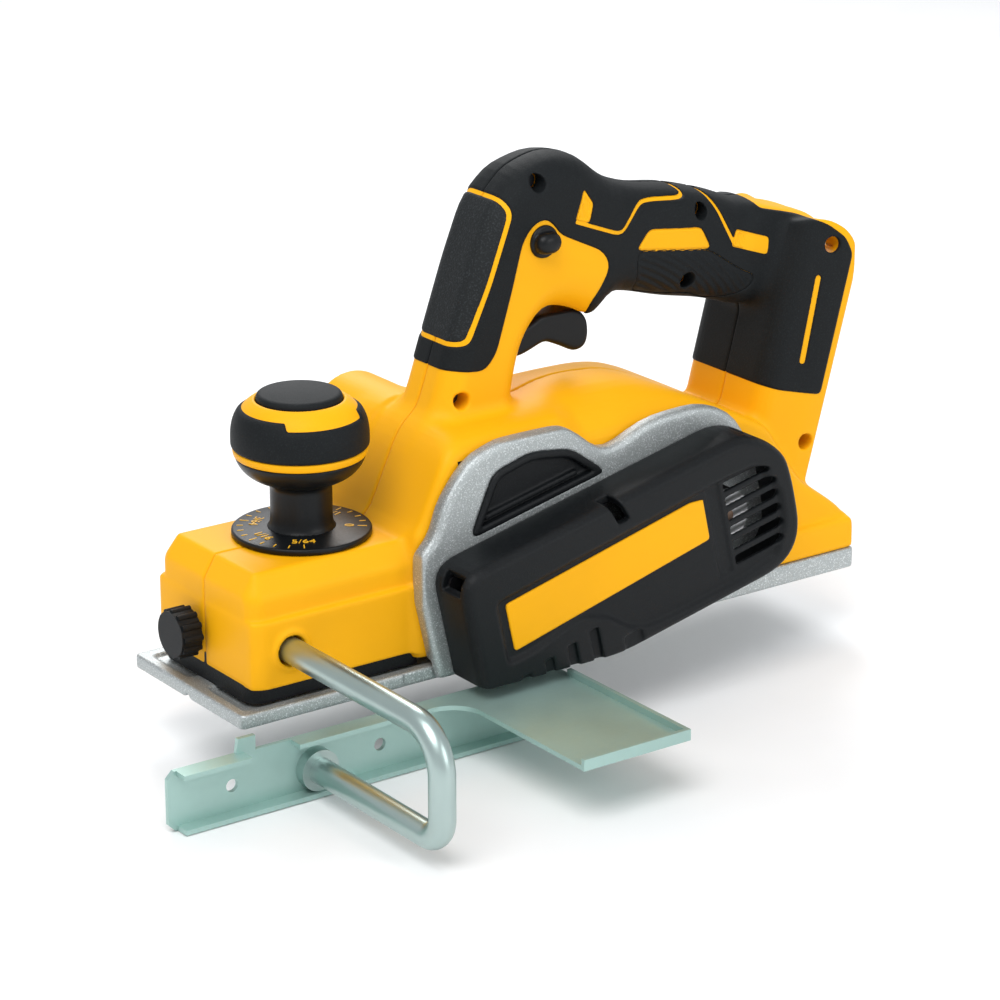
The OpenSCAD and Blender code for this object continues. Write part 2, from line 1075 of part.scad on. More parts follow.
module lock_off_button() {
    color(black)
        bar_y(button_r, -22.5, 22.5, button[0], button[1]);
}

module fence_rod() {
    top_bend = 18;
    low_bend = 10;
    low_z = -18;
    color(zinc) {
        bar_y(rod_r, reach_y + top_bend, 30, rod_x, rod_z);
        translate([rod_x, reach_y, low_z + low_bend])
            cylinder(r = rod_r, h = rod_z - top_bend - low_z - low_bend);
        bar_y(rod_r, reach_y + low_bend, face_y - sheet - 5, rod_x, low_z);
        translate([rod_x, reach_y + top_bend, rod_z - top_bend])
            rotate([90, 0, -90])
                rotate_extrude(angle = 90)
                    translate([top_bend, 0])
                        circle(r = rod_r);
        translate([rod_x, reach_y + low_bend, low_z + low_bend])
            rotate([0, 90, 0])
                rotate([0, 0, -90])
                    rotate_extrude(angle = 90)
                        translate([low_bend, 0])
                            circle(r = rod_r);
        bar_y(8.7, face_y - sheet - 5, face_y - sheet, rod_x, low_z);
    }
}

module fence_plate() {
    lip = 8.5;
    x0 = -201;
    x1 = -13;
    color(zinc)
        difference() {
            union() {
                along_y(face_y - sheet, face_y)
                    polygon([[x0, fence_low + 3], [x0 + 3, fence_low], [x1, fence_low],
                        [x1, fence_top], [-160.6, fence_top], [-160.6, 2.6], [-168.5, 2.6],
                        [-169.5, fence_top], [x0 + 3, fence_top], [x0, fence_top - 3]]);
                block([x0 + 4, face_y - lip, fence_low], [x1, face_y - sheet, fence_low + sheet]);
                block([x0 + 4, face_y - lip, fence_top - sheet], [-166, face_y - sheet, fence_top]);
                block([-144, face_y - lip, fence_top - sheet], [-60, face_y - sheet, fence_top]);
                translate([0, 0, fence_top - sheet])
                    linear_extrude(sheet)
                        difference() {
                            polygon([[-80, face_y - lip], [-66, face_y - lip - 14],
                                [-66, reach_y], [x1, reach_y], [x1, face_y - sheet],
                                [-80, face_y - sheet]]);
                            translate([-80, face_y - lip - 14])
                                circle(r = 14);
                        }
                block([x1 - sheet, reach_y, fence_top - sheet], [x1, face_y - 12, -0.8]);
                block([-66, reach_y, fence_top - sheet], [x1, reach_y + sheet, -0.8]);
            }
            for (x = [-171.8, -101.8])
                bar_y(2.75, -60, -40, x, -16.3);
        }
}

module fence_knob() {
    color(black)
        translate([-164, lock_y, rod_z])
            rotate([0, 90, 0])
                difference() {
                    union() {
                        cylinder(r = 9.6, h = 9.5);
                        for (a = [0:30:330])
                            rotate([0, 0, a])
                                translate([9.2, 0, 0.8])
                                    cylinder(r = 1.4, h = 8.7, $fn = 24);
                    }
                    translate([0, 0, 3])
                        cylinder(r = lock_r + gap, h = 20);
                }
}

module fence_knob_shank() {
    color(zinc)
        bar_x(lock_r, -160.9, -139.1, lock_y, rod_z);
}

module kickstand() {
    color(black)
        difference() {
            union() {
                block([98, 22, 2.2], [142, 32.5, 7.8]);
                bar_y(2.8, 22, 32.5, stand[0], stand[1]);
            }
            bar_y(pin_r + run_fit, 20, 36, stand[0], stand[1]);
        }
}

base_frame();
housing_left();
housing_right();
grip_left();
grip_right();
leg_pad();
palm_pads();
grip_inlays();
belt_cover();
cover_badge();
cover_screws();
drive_belt();
chip_chute();
chip_port_cover();
motor_stator();
motor_bearings();
drum_bearings();
bearing_caps();
control_module();
switch_unit();
battery_terminals();
terminal_blades();
housing_screws();
fence_insert();
wire_harness();
kickstand_pin();
front_shoe();
front_skirt();
shoe_nut();
knob_core();
knob_rings();
knob_grip();
knob_cap();
depth_dial();
depth_screw();
cutter_drum();
cutter_blades();
blade_clamps();
clamp_screws();
driven_pulley();
motor_rotor();
cooling_fan();
drive_pulley();
trigger();
trigger_pin();
lock_off_button();
fence_plate();
fence_rod();
fence_knob();
fence_knob_shank();
kickstand();
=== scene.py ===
"""Looks of the electric hand planer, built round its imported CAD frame."""
import math

import bpy
import bmesh
import numpy as np
from mathutils import Matrix, Vector


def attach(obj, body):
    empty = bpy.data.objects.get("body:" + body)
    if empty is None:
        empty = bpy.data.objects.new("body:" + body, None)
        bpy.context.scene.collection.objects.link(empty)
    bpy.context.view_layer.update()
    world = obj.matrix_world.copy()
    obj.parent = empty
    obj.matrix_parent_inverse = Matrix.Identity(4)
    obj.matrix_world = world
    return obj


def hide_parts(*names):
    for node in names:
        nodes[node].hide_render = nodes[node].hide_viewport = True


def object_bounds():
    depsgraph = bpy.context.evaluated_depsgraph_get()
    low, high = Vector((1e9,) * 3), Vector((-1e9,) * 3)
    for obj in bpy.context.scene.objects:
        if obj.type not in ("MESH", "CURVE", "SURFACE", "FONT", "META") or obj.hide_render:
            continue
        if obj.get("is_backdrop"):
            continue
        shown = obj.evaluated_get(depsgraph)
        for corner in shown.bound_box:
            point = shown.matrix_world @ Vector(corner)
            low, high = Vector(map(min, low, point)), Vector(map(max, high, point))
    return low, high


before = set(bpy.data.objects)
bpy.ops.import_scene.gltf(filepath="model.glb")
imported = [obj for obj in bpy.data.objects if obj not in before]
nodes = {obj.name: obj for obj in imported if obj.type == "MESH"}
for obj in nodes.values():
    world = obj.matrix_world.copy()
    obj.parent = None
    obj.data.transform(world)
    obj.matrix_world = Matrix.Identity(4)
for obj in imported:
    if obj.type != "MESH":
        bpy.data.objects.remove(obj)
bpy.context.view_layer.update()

# Fields and outlines below are in millimetres; meshes are in metres.
MM = 0.001

# ---------- places shared by several pieces ----------

DRUM = (-25.0, 27.0)          # cutter axis, x and z
BELT_TILT = math.radians(12.8)
COLUMN_FOOT = (137.6, 42.6)
COLUMN_LEAN = math.radians(15.0)
KNOB_X = -103.5
DECK_Z = 59.4                 # top of the front box
SOLE_SIDE = 42                # half the width of the sole
SOLE_FRONT, SOLE_REAR = -160, 160
CORNER = 200.6                # x plus y where the sole's corners are cut off
FLANGE_Y = -45.5              # outer face of the casting's flange
COVER_Y = -68.0               # outer face of the belt cover
SKIN = 0.6                    # how far the rubber stands above the plastic
CHIP_TUBE = (-40, 81)         # axes across the planer, x and z
FENCE_ROD = (-133.4, 27)
BUTTON = (6, 168.5)
SCREW_R = 3.6                 # radius of the screw holes
LINING_R = 4.7                # radius of the rubber round them
# Screw holes: x, z and how far the head of the screw stands from the middle plane.
SCREWS = [(4, 193, 9), (90, 168, 9), (83, 139, 9), (-35, 107, 9), (151, 147, 21), (138, 60, 21)]
HOOD_R = 32.5                 # outside of the hood round the cutter
DRUM_ROOM_R = 29.5            # room for the cutter inside the hood
SHOE_ROOM_R = 30              # room for the cutter in the front shoe
DIAGONAL = 0.7071             # slope of a cut at 45 degrees


# ---------- fields: signed distances, negative inside ----------

def smax(a, b, k):
    """Intersection of two fields with their edge rounded over k."""
    h = np.maximum(k - np.abs(a - b), 0) / k
    return np.maximum(a, b) + h * h * k / 4


def smin(a, b, k):
    """Union of two fields with their corner filled over k."""
    return -smax(-a, -b, k)


def ease(a, b, t):
    """Smooth rise from 0 at a to 1 at b."""
    t = np.clip((t - a) / (b - a), 0, 1)
    return t * t * (3 - 2 * t)


def rounded(points, radius, steps=4, closed=True):
    """The outline with each corner replaced by a short curve that starts radius away from it."""
    p = np.array(points, float)
    out = []
    for i, corner in enumerate(p):
        if not closed and i in (0, len(p) - 1):
            out.append(corner)
            continue
        before, after = p[i - 1] - corner, p[(i + 1) % len(p)] - corner
        reach = [min(radius, np.linalg.norm(e) / 2) / np.linalg.norm(e) for e in (before, after)]
        start, end = corner + before * reach[0], corner + after * reach[1]
        for t in np.linspace(0, 1, steps):
            out.append(start * (1 - t) ** 2 + corner * 2 * t * (1 - t) + end * t * t)
    return np.array(out)


def outline(points, u, v):
    """Signed distance in a plane to a closed outline."""
    d = np.full(np.broadcast(u, v).shape, 1e9, np.float32)
    inside = np.zeros(d.shape, bool)
    for (ax, ay), (bx, by) in zip(points, np.roll(points, -1, 0)):
        ex, ey = bx - ax, by - ay
        t = np.clip(((u - ax) * ex + (v - ay) * ey) / (ex * ex + ey * ey + 1e-9), 0, 1)
        d = np.minimum(d, (u - ax - t * ex) ** 2 + (v - ay - t * ey) ** 2)
        if ay != by:
            crosses = (v >= min(ay, by)) & (v < max(ay, by))
            inside = inside ^ (crosses & (u < ax + (v - ay) * ex / ey))
    return (np.sqrt(d) * np.where(inside, -1, 1)).astype(np.float32)


def line(points, u, v):
    """Distance in a plane to an open line."""
    d = np.full(np.broadcast(u, v).shape, 1e9, np.float32)
    for (ax, ay), (bx, by) in zip(points[:-1], points[1:]):
        ex, ey = bx - ax, by - ay
        t = np.clip(((u - ax) * ex + (v - ay) * ey) / (ex * ex + ey * ey + 1e-9), 0, 1)
        d = np.minimum(d, (u - ax - t * ex) ** 2 + (v - ay - t * ey) ** 2)
    return np.sqrt(d).astype(np.float32)


def box_field(x, y, z, lo, hi, k=0.01):
    """Box between two corners, with edges rounded over k."""
    d = smax(np.maximum(lo[0] - x, x - hi[0]), np.maximum(lo[1] - y, y - hi[1]), k)
    return smax(d, np.maximum(lo[2] - z, z - hi[2]), k)


def rod_y(x, y, z, at, r, y0, y1, k=0.01):
    """Cylinder along y round the point at, which is x and z."""
    return smax(np.hypot(x - at[0], z - at[1]) - r, np.maximum(y0 - y, y - y1), k)


def tilted(x, z, foot, angle):
    """Coordinates in a frame turned up by an angle round a foot point."""
    c, s = math.cos(angle), math.sin(angle)
    u, v = x - foot[0], z - foot[1]
    return u * c + v * s, v * c - u * s


def drive(x, z):
    """Coordinates along and across the belt, from the cutter's axis."""
    return tilted(x, z, DRUM, BELT_TILT)


def column_frame(x, z):
    """Coordinates across and along the leaning battery column."""
    return tilted(x, z, COLUMN_FOOT, -COLUMN_LEAN)


# ---------- meshes from fields ----------

def sample(values, p):
    """Values of a grid at points given in cells."""
    i = np.clip(p.astype(int), 0, np.array(values.shape) - 2)
    f = (p - i).astype(np.float32)
    out = 0
    for a in (0, 1):
        for b in (0, 1):
            for c in (0, 1):
                w = ((f[:, 0] if a else 1 - f[:, 0]) * (f[:, 1] if b else 1 - f[:, 1])
                     * (f[:, 2] if c else 1 - f[:, 2]))
                out = out + w * values[i[:, 0] + a, i[:, 1] + b, i[:, 2] + c]
    return out


def net(values):
    """Closed surface where a grid of values passes zero: points in cells, quads."""
    n = np.array(values.shape) - 1
    inside = values < 0
    keys, places, quads = [], [], []
    for axis in range(3):
        a = [slice(None)] * 3
        b = [slice(None)] * 3
        a[axis], b[axis] = slice(None, -1), slice(1, None)
        low, high = inside[tuple(a)], inside[tuple(b)]
        at = np.argwhere(low != high)
        v0 = values[tuple(a)][tuple(at.T)]
        v1 = values[tuple(b)][tuple(at.T)]
        place = at.astype(np.float32)
        place[:, axis] += v0 / (v0 - v1)
        side, other = (axis + 1) % 3, (axis + 2) % 3
        corner = []
        for step in ((0, 0), (1, 0), (1, 1), (0, 1)):
            cell = at.copy()
            cell[:, side] -= step[0]
            cell[:, other] -= step[1]
            corner.append((cell[:, 0] * n[1] + cell[:, 1]) * n[2] + cell[:, 2])
            keys.append(corner[-1])
            places.append(place)
        quad = np.stack(corner, 1)
        flip = high[tuple(at.T)]
        quad[flip] = quad[flip][:, ::-1]
        quads.append(quad)
    keys, places, quads = np.concatenate(keys), np.concatenate(places), np.concatenate(quads)
    cells, index = np.unique(keys, return_inverse=True)
    count = np.bincount(index)
    points = np.stack([np.bincount(index, places[:, i]) / count for i in range(3)], 1)
    return points, np.searchsorted(cells, quads)


def solid(name, field, lo, hi, step, body, material, replaces=()):
    """Piece whose surface is a field's zero, sampled on a grid of the given step."""
    axes = [np.arange(a - 1.5 * step, b + 2.5 * step, step, dtype=np.float32) for a, b in zip(lo, hi)]
    x, y, z = axes[0][:, None, None], axes[1][None, :, None], axes[2][None, None, :]
    values = np.broadcast_to(field(x, y, z), [len(a) for a in axes]).astype(np.float32)
    values = np.where(values == 0, np.float32(1e-6), values)
    for side in (0, -1):
        values[side], values[:, side], values[:, :, side] = 1.0, 1.0, 1.0
    points, quads = net(values)
    slopes = np.gradient(values)
    for _ in range(2):
        slope = np.stack([sample(s, points) for s in slopes], 1)
        push = sample(values, points) / np.maximum((slope ** 2).sum(1), 1e-6)
        push = np.clip(push, -0.25, 0.25)
        points = points - push[:, None] * slope * 0.8
    origin = np.array([a[0] for a in axes])
    mesh = bpy.data.meshes.new(name)
    mesh.vertices.add(len(points))
    mesh.vertices.foreach_set("co", ((origin + points * step) * MM).astype(np.float32).ravel())
    mesh.loops.add(quads.size)
    mesh.loops.foreach_set("vertex_index", quads.ravel().astype(np.int32))
    mesh.polygons.add(len(quads))
    mesh.polygons.foreach_set("loop_start", np.arange(0, quads.size, 4, dtype=np.int32))
    mesh.polygons.foreach_set("loop_total", np.full(len(quads), 4, np.int32))
    mesh.update(calc_edges=True)
    mesh.validate()
    mesh.shade_smooth()
    return piece(name, mesh, body, material, replaces)


def piece(name, mesh, body, material, replaces=()):
    """Mesh as a piece that rides on a body, with its looks and the CAD nodes it replaces."""
    obj = bpy.data.objects.new(name, mesh)
    bpy.context.scene.collection.objects.link(obj)
    mesh.materials.append(material)
    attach(obj, body)
    if replaces:
        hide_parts(*replaces)
    return obj


def lathe(name, profile, body, material, replaces=(), turns=128):
    """Piece of revolution round the depth knob's axis from points of radius and height."""
    bm = bmesh.new()
    rings = []
    for r, z in profile:
        if r < 1e-6:
            rings.append([bm.verts.new((KNOB_X * MM, 0, z * MM))])
            continue
        ring = []
        for i in range(turns):
            a = math.tau * i / turns
            ring.append(bm.verts.new(((KNOB_X + r * math.cos(a)) * MM, r * math.sin(a) * MM, z * MM)))
        rings.append(ring)
    for low, high in zip(rings[:-1], rings[1:]):
        for i in range(turns):
            j = (i + 1) % turns
            corners = [low[i % len(low)], low[j % len(low)], high[j % len(high)], high[i % len(high)]]
            corners = list(dict.fromkeys(corners))
            if len(corners) > 2:
                bm.faces.new(corners)
    mesh = bpy.data.meshes.new(name)
    bm.to_mesh(mesh)
    bm.free()
    mesh.shade_smooth()
    return piece(name, mesh, body, material, replaces)


# ---------- materials ----------

def material(name, colour, rough, metal=0.0, grain=0.0, grain_size=1.0, spread=0.06,
             rough_spread=0.08, brush=None, spots=None, coat=0.0, spec=0.5):
    """Principled surface with a fine grain in its bump and slow drifts of tone and gloss.
    grain is the height in millimetres and grain_size the size of one grain; brush stretches
    it along an axis; spots mixes a second colour into the grain's peaks."""
    m = bpy.data.materials.new(name)
    m.use_nodes = True
    tree = m.node_tree
    make, join = tree.nodes.new, tree.links.new
    shader = tree.nodes["Principled BSDF"]
    shader.inputs["Metallic"].default_value = metal
    shader.inputs["Specular IOR Level"].default_value = spec
    shader.inputs["Coat Weight"].default_value = coat
    coord = make("ShaderNodeTexCoord")
    place = make("ShaderNodeMapping")
    join(coord.outputs["Object"], place.inputs["Vector"])
    place.inputs["Scale"].default_value = brush or (1, 1, 1)

    def noise(scale, detail, source):
        n = make("ShaderNodeTexNoise")
        n.inputs["Scale"].default_value = scale
        n.inputs["Detail"].default_value = detail
        join(source, n.inputs["Vector"])
        return n.outputs["Fac"]

    def span(value, low, high, from_low=0.3, from_high=0.7):
        n = make("ShaderNodeMapRange")
        n.inputs["From Min"].default_value = from_low
        n.inputs["From Max"].default_value = from_high
        n.inputs["To Min"].default_value = low
        n.inputs["To Max"].default_value = high
        join(value, n.inputs["Value"])
        return n.outputs["Result"]

    slow = noise(18, 4, coord.outputs["Object"])
    fine = noise(1.0 / (grain_size * MM), 3, place.outputs["Vector"])
    tone = make("ShaderNodeMixRGB")
    join(span(slow, 0, 1), tone.inputs["Fac"])
    tone.inputs["Color1"].default_value = (*[c * (1 - spread) for c in colour], 1)
    tone.inputs["Color2"].default_value = (*[min(1, c * (1 + spread)) for c in colour], 1)
    out = tone.outputs["Color"]
    if spots:
        speck = make("ShaderNodeMixRGB")
        join(span(fine, 0, 1, 0.52, 0.72), speck.inputs["Fac"])
        join(out, speck.inputs["Color1"])
        speck.inputs["Color2"].default_value = (*spots, 1)
        out = speck.outputs["Color"]
    join(out, shader.inputs["Base Color"])
    rough_of = make("ShaderNodeMath")
    rough_of.operation = "ADD"
    join(span(fine, rough - rough_spread / 2, rough + rough_spread / 2), rough_of.inputs[0])
    join(span(slow, -rough_spread / 2, rough_spread / 2), rough_of.inputs[1])
    join(rough_of.outputs[0], shader.inputs["Roughness"])
    if grain:
        bump = make("ShaderNodeBump")
        bump.inputs["Distance"].default_value = grain * MM
        bump.inputs["Strength"].default_value = 1.0
        join(fine, bump.inputs["Height"])
        join(bump.outputs["Normal"], shader.inputs["Normal"])
    return m


YELLOW = material("yellow_plastic", (0.90, 0.42, 0.004), 0.45, grain=0.05, grain_size=0.45, spread=0.04,
                  spec=0.14)
RUBBER = material("rubber", (0.0045, 0.006, 0.007), 0.62, grain=0.16, grain_size=0.5, spread=0.15,
                  spots=(0.012, 0.0155, 0.017), spec=0.2)
PAD = material("pad_rubber", (0.008, 0.010, 0.011), 0.6, grain=0.3, grain_size=0.8, spread=0.15,
               spots=(0.028, 0.033, 0.036), spec=0.25)
BLACK = material("black_plastic", (0.003, 0.004, 0.005), 0.48, grain=0.14, grain_size=0.5, spread=0.12,
                 spots=(0.010, 0.013, 0.0145), spec=0.22)
SMOOTH = material("smooth_black_plastic", (0.004, 0.005, 0.006), 0.38, grain=0.02, grain_size=0.8,
                  spec=0.25)
CAST = material("cast_aluminium", (0.40, 0.43, 0.43), 0.46, metal=0.7, grain=0.2, grain_size=0.55,
                spread=0.05, spots=(0.82, 0.86, 0.86), rough_spread=0.16)
MACHINED = material("machined_aluminium", (0.6, 0.61, 0.62), 0.3, metal=1.0, grain=0.03,
                    grain_size=0.5, brush=(0.05, 1, 1))
ZINC = material("zinc_plate", (0.42, 0.52, 0.50), 0.33, metal=0.95, grain=0.006, grain_size=2.5,
                spread=0.05, rough_spread=0.06)
SHEET = material("zinc_sheet", (0.37, 0.54, 0.50), 0.42, metal=0.55, grain=0.01, grain_size=2.5,
                 spread=0.08, rough_spread=0.1)
BLADE = material("blade_steel", (0.62, 0.63, 0.65), 0.22, metal=1.0, grain=0.01, grain_size=0.4,
                 brush=(1, 0.1, 1))
DARK_STEEL = material("blackened_steel", (0.05, 0.05, 0.055), 0.4, metal=0.9, grain=0.02)
BRASS = material("brass", (0.72, 0.5, 0.18), 0.28, metal=1.0, grain=0.02)
CORE = material("laminated_core", (0.2, 0.13, 0.09), 0.5, metal=0.4, grain=0.05, brush=(1, 8, 1))
BELT = material("belt_rubber", (0.02, 0.02, 0.02), 0.7, grain=0.1, grain_size=0.6)
BOARD = material("board", (0.03, 0.08, 0.05), 0.45, grain=0.05)
WIRE = material("wire_red", (0.5, 0.03, 0.02), 0.4, grain=0.01)
MARK = material("dial_marks", (0.93, 0.5, 0.02), 0.5, grain=0.01)

SLOT_LOOKS = {"housing_yellow": YELLOW, "grip_rubber": RUBBER, "black_plastic": BLACK,
              "cast_aluminium": CAST, "machined_aluminium": MACHINED, "zinc_steel": ZINC,
              "blade_steel": BLADE, "blackened_steel": DARK_STEEL, "brass": BRASS,
              "laminated_core": CORE, "belt_rubber": BELT, "board_green": BOARD,
              "wire_red": WIRE, "trim_yellow": YELLOW}

for node in nodes.values():
    slot_name = node.data.materials[0].name.split(".")[0]
    for i in range(len(node.data.materials)):
        node.data.materials[i] = SLOT_LOOKS[slot_name]
nodes["fence_plate"].data.materials[0] = SHEET

# ---------- housing ----------

BODY_SIDE = rounded([(-73.5, -20), (-73.5, 61), (-70, 65), (-64, 78), (-57, 93), (-50, 100), (-5, 100.5),
                      (25, 106), (45, 103.5), (62, 98), (82, 89), (112, 74), (132, 45), (152, 30.5),
                      (158, 25), (160, 20), (160, -20)], 6)
BODY_FRONT = rounded([(-38, -30), (38, -30), (38, 92), (32, 98), (20, 101.5), (-20, 101.5), (-32, 98),
                       (-38, 92)], 7)
BODY_REAR = rounded([(-38, -30), (38, -30), (38, 85), (32, 93), (18, 101.5), (0, 106.5), (-18, 101.5),
                      (-32, 93), (-38, 85)], 8)
HANDLE = rounded([(-58, 80), (-54, 92), (-46.5, 105), (-37.5, 131), (-26.5, 162), (-17, 185),
                   (-4, 198.5), (14, 203.6), (30, 200.2), (45, 188), (60, 182.5), (82, 179.3),
                   (104, 173), (124, 164.5), (150, 154), (150, 130), (132, 124), (118, 119),
                   (108, 123), (96, 126.5), (76, 130.5), (56, 136), (46, 137), (36, 127),
                   (24, 134), (11, 137.5), (3, 130), (-1.5, 121), (-5.5, 103), (-6.5, 80)], 7)
LEG_WINDOW = rounded([(-80, 122.5), (-36, 119.5), (-24, 118), (-18, 124.5), (-10, 150), (-4.5, 170),
                       (1, 176.5), (8, 178), (14.5, 170), (36.5, 159.5), (40.5, 153), (37, 145),
                       (31.5, 138), (33.5, 130), (48, 120), (48, 40), (-80, 40)], 4)
PAD_OUTLINE = rounded([(-66, 131.5), (-40, 129.8), (-31.5, 130.5), (-21, 154), (-9.8, 183),
                        (-12.5, 188.5), (-32, 196.5), (-70, 194)], 3)
COLUMN_PLAN = rounded([(-31, -22.5), (-26.5, -28.5), (-8, -33), (4, -33), (4, 33), (-8, 33),
                        (-26.5, 28.5), (-31, 22.5)], 4)
COLUMN_SIDE = rounded([(-34, -60), (-34, 111), (-26, 114.8), (-17, 116), (-7.5, 113), (0, 106.8),
                       (3.4, 101), (1.8, -60)], 4)
BLACK_POST = rounded([(-24, 113.8), (-17.5, 112.6), (-8.5, 108.6), (-2.6, 102), (-2.4, 38.6), (-23, 37.8),
                       (-40, 39), (-62, 44), (-90, 50), (-90, 125), (-49, 125), (-46, 113.8)], 2.5)


BOX_X, BOX_HALF_X, BOX_HALF_Y = -108.5, 45, 38     # front box in plan
BOX_CORNER = 10
STEP_Z, STEP_IN = 41.2, 2.6                        # ledge round the box, under its smaller top


def plan_box(x, y, inset):
    """Distance in plan to the front box, drawn in by an inset."""
    u = np.abs(x - BOX_X) - (BOX_HALF_X - BOX_CORNER)
    v = np.abs(y) - (BOX_HALF_Y - BOX_CORNER)
    flat = np.minimum(np.maximum(u, v), 0)
    return np.hypot(np.maximum(u, 0), np.maximum(v, 0)) + flat - BOX_CORNER + inset


def front_box(x, y, z):
    """Front box: an upright lower part and a smaller top with a chamfer."""
    lower = smax(plan_box(x, y, 0), z - STEP_Z, 1.6)
    upper = smax(plan_box(x, y, STEP_IN), z - DECK_Z, 1.0)
    chamfer = (plan_box(x, y, STEP_IN) + 0.62 * (z - 50)) * 0.85
    return np.maximum(smin(lower, smax(upper, chamfer, 1.2), 0.8), 12.5 - z)


SHOE_TOP = 9.3                # where the housing stands on the rear shoe
SKIRT_Y = 41.2                # half the width of the skirt at the tail
GRIP_HALF = 17.6              # half the width of the leg
COLUMN_HALF = 33              # half the width of the battery column


def body(x, y, z):
    """Housing over the cutter and the motor, down to the skirt on the rear shoe."""
    side = outline(BODY_SIDE, x, z)
    t = ease(0, 16, x)
    section = outline(BODY_FRONT, y, z) * (1 - t) + outline(BODY_REAR, y, z) * t
    skirt = box_field(x, y, z, (112, -SKIRT_Y, SHOE_TOP), (159.8, SKIRT_Y, 23.2), 1.6)
    skirt = smax(skirt, side, 1.5)
    return np.maximum(smin(smax(side, section, 5), skirt, 3), SHOE_TOP - z)


def handle(x, y, z):
    """Leg and grip: flats with chamfers on the leg, round on the grip."""
    s = outline(HANDLE, x, z)
    half = GRIP_HALF - 1.2 * ease(40, 52, x) * ease(80, 62, x)
    soft = 2.5 + 5 * ease(-5, 30, x) + 3 * ease(184, 200, z) * ease(30, 0, x)
    d = smax(s, np.abs(y) - half, soft)
    chamfer = (np.abs(y) + s - half + 7) * DIAGONAL
    return smax(d, chamfer, soft)


def column(x, y, z):
    """Leaning battery column, with a raised deck on top."""
    u, v = column_frame(x, z)
    crown = 0.13 * (COLUMN_HALF - np.abs(y)) * ease(90, 108, v)
    d = smax(outline(COLUMN_PLAN, u, y), outline(COLUMN_SIDE, u, v) + crown, 2.0)
    deck = box_field(u, y, v, (-47, -15, 96), (-12, 15, 114.6), 5)
    return np.maximum(smin(d, deck, 5), 22 - z)


def grip_and_column(x, y, z):
    """Outer form of the handle with its column, up to the face of the rubber."""
    return smin(handle(x, y, z), column(x, y, z), 9)


def pockets(x, y, z, wider=0.0):
    """Screw holes, trigger slot and battery slot, to cut from the shells."""
    d = np.float32(1e3)
    for sx, sz, head in SCREWS:
        d = np.minimum(d, rod_y(x, y, z, (sx, sz), SCREW_R + wider, -60, 3 - head))
    trigger_slot = box_field(x, y, z, (-14, -7.5, 115), (41, 7.5, 141))
    u, v = column_frame(x, z)
    battery_slot = box_field(u, y, v, (-13, -21, 24), (9, 21, 140))
    rail_grooves = box_field(u, y, v, (-9, -26, 24), (-3.5, 26, 140))
    return np.minimum(np.minimum(d, trigger_slot), np.minimum(battery_slot, rail_grooves))


def black_area(x, y, z):
    """Where the soft skin covers the handle and the column."""
    leg = np.maximum(-outline(LEG_WINDOW, x, z), np.maximum(112 - z, x - 104))
    u, v = column_frame(x, z)
    post = outline(BLACK_POST, u, v)
    return np.minimum(leg, np.maximum(post, 101 - x))


LINES = [rounded(p, 5, closed=False) for p in (
    [(23, 174), (47, 164.8), (51, 169.5), (57.5, 176.3), (64, 176.5), (82, 174.8), (84, 177), (80, 182)],
    [(95, 178), (99, 169), (102, 161), (107, 152)])]
INLAYS = [rounded(p, 1.5) for p in (
    [(26.8, 187.5), (31.5, 180.6), (29.5, 172.8), (22.3, 174.8)],
    [(108.5, 157.5), (126, 151.5), (125, 144), (106, 150.5)])]
PANEL = rounded([(62, 164.5), (89, 161.5), (94.5, 151.5), (55.5, 156.5)], 2.5)
PALM = rounded([(55, 156), (94, 151), (101, 146), (112, 139), (119, 136), (118, 131), (109, 127),
                 (97, 127), (88, 132), (70, 134), (58, 137), (57, 142)], 5)


def trims(x, z):
    """Distance to the yellow lines and inlays in side view."""
    d = np.minimum(*[line(p, x, z) - 0.7 for p in LINES])
    for p in INLAYS:
        d = np.minimum(d, outline(p, x, z))
    stripe = line([(144, 133), (136, 97)], x, z) - 1.2
    return np.minimum(np.minimum(d, stripe), outline(PANEL, x, z))


def shell_field(x, y, z):
    """Yellow housing, both halves in one."""
    low = smin(front_box(x, y, z), body(x, y, z), 5)
    tube = rod_y(x, y, z, CHIP_TUBE, 21, 20, 60, 1.5)
    low = smin(low, tube, 5)
    collar = rod_y(x, y, z, FENCE_ROD, 8.6, -39, 0, 1.0)
    low = smin(low, collar, 1.5)
    high = grip_and_column(x, y, z) + SKIN
    d = smin(low, high, 6 - 3.5 * ease(118, 134, x))
    d = smax(d, -rod_y(x, y, z, CHIP_TUBE, 17.5, 24, 70), 1.2)
    d = smax(d, -rod_y(x, y, z, FENCE_ROD, 6.4, -60, 60), 1.0)
    d = np.maximum(d, -rod_y(x, y, z, DRUM, HOOD_R + 0.3, -42.4, 42.4))
    return smax(d, -pockets(x, y, z, 0.9 * (z > 120)), 0.8)


def half_of(field, side):
    """Field of one side's half: -1 is the left and 1 the right."""
    return lambda x, y, z: smax(field(x, y, z), 0.08 - side * y, 0.9)


def skin_field(x, y, z):
    """Rubber over the handle and the column, with rubber round its three screw holes."""
    d = grip_and_column(x, y, z)
    d = np.maximum(d, -(d + 2.2))
    d = smax(d, black_area(x, y, z), 0.9)
    d = smax(d, -trims(x, z), 0.8)
    d = smax(d, 0.7 - outline(PAD_OUTLINE, x, z), 0.8)
    rib = outline(PALM, x, z)
    d = smax(d, -0.1 - rib, 0.5)
    d = smax(d, 7.6 - np.hypot(x - BUTTON[0], z - BUTTON[1]), 0.8)
    for sx, sz, head in SCREWS[:3]:
        lining = rod_y(x, y, z, (sx, sz), LINING_R, -head - 9, 0.5 - head)
        lining = smax(lining, grip_and_column(x, y, z), 0.8)
        d = np.minimum(d, lining)
    return smax(d, -pockets(x, y, z), 0.6)


